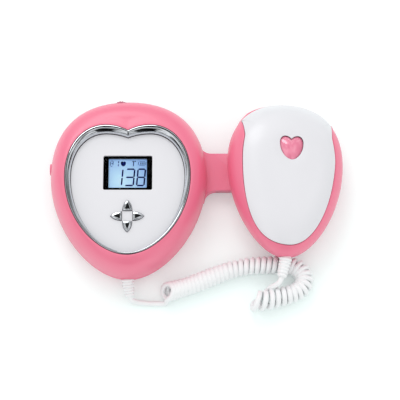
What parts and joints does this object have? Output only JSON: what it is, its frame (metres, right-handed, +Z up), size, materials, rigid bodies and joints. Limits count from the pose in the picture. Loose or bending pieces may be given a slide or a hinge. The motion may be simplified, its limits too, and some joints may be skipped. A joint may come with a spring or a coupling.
{
  "type": "fetal doppler monitor",
  "caption": "Egg-shaped hand-held ultrasound monitor with a heart-shaped panel, display and arrow keys, and an egg-shaped probe docked on a side arm, tied by a curly cord.",
  "frame": {"origin": "on the table, in the plane of the main unit's underside, under the widest place of the main unit and on its centre line", "axes": "+X across the unit towards the docked probe, +Y away from the user towards the round end, +Z up out of the display"},
  "size_m": [0.1759, 0.1287, 0.0374],
  "materials": {
    "pink_gloss_plastic": "glossy injection-moulded pink ABS",
    "white_gloss_plastic": "glossy injection-moulded white ABS",
    "chrome_plated_plastic": "bright chrome plating on ABS",
    "display_glass": "clear acrylic window with a black printed border",
    "lcd_glass": "backlit liquid crystal display",
    "silicone_mat": "moulded silicone rubber",
    "circuit_board": "green solder mask over glass-epoxy laminate",
    "speaker_cone": "black paper cone and steel magnet cup",
    "battery_jacket": "plain dark shrink sleeve over a steel can",
    "contact_steel": "nickel-plated spring steel",
    "screw_steel": "zinc-plated steel",
    "black_plastic": "moulded black nylon",
    "pink_silicone": "glossy pink silicone",
    "white_cord_rubber": "soft white PVC cord jacket",
    "lens_resin": "cast epoxy acoustic lens",
    "piezo_ceramic": "fired piezo ceramic with silver electrodes",
    "backing_resin": "tungsten-loaded epoxy damping block"
  },
  "bodies": {
    "base": {"rear_shell": "pink_gloss_plastic", "front_bezel": "pink_gloss_plastic", "heart_trim": "chrome_plated_plastic", "face_plate": "white_gloss_plastic", "display_window": "display_glass", "lcd_module": "lcd_glass", "key_mat": "silicone_mat", "main_board": "circuit_board", "speaker": "speaker_cone", "battery_cells": "battery_jacket", "battery_contacts": "contact_steel", "headphone_jack": "black_plastic", "volume_control": "black_plastic", "case_screws": "screw_steel", "dock_screws": "screw_steel", "probe_dock": "pink_gloss_plastic", "relief_main": "white_cord_rubber", "cord_lead_main": "white_cord_rubber", "cord_coil": "white_cord_rubber", "cord_lead_probe": "white_cord_rubber"},
    "key_up": {"key_up": "chrome_plated_plastic"},
    "key_left": {"key_left": "chrome_plated_plastic"},
    "key_down": {"key_down": "chrome_plated_plastic"},
    "key_right": {"key_right": "chrome_plated_plastic"},
    "volume_wheel": {"volume_wheel": "pink_gloss_plastic"},
    "battery_door": {"battery_door": "pink_gloss_plastic"},
    "probe": {"probe_lower_shell": "pink_gloss_plastic", "probe_top_cover": "white_gloss_plastic", "probe_board": "circuit_board", "probe_switch": "black_plastic", "transducer_lens": "lens_resin", "transducer_crystals": "piezo_ceramic", "backing_block": "backing_resin", "probe_screws": "screw_steel", "relief_probe": "white_cord_rubber"},
    "probe_button": {"probe_heart_button": "pink_silicone"}
  },
  "joints": [
    {"name": "key_up_press", "type": "slide", "parent": "base", "child": "key_up", "axis": [0, 0, -1], "range_m": [0, 0.0007], "stiffness_N_per_m": 1200},
    {"name": "key_left_press", "type": "slide", "parent": "base", "child": "key_left", "axis": [0, 0, -1], "range_m": [0, 0.0007], "stiffness_N_per_m": 1200},
    {"name": "key_down_press", "type": "slide", "parent": "base", "child": "key_down", "axis": [0, 0, -1], "range_m": [0, 0.0007], "stiffness_N_per_m": 1200},
    {"name": "key_right_press", "type": "slide", "parent": "base", "child": "key_right", "axis": [0, 0, -1], "range_m": [0, 0.0007], "stiffness_N_per_m": 1200},
    {"name": "volume_turn", "type": "hinge", "parent": "base", "child": "volume_wheel", "pos_m": [-0.0046, 0.04076, 0.0226], "axis": [0, 0, 1], "range_deg": [-140, 140]},
    {"name": "battery_door_lift", "type": "slide", "parent": "base", "child": "battery_door", "axis": [0, 0, -1], "range_m": [0, 0.012]},
    {"name": "probe_lift", "type": "slide", "parent": "base", "child": "probe", "axis": [0.1478, 0, 0.989], "range_m": [0, 0.025]},
    {"name": "probe_button_press", "type": "slide", "parent": "probe", "child": "probe_button", "axis": [-0.1478, 0, -0.989], "range_m": [0, 0.0008], "stiffness_N_per_m": 1500}
  ]
}
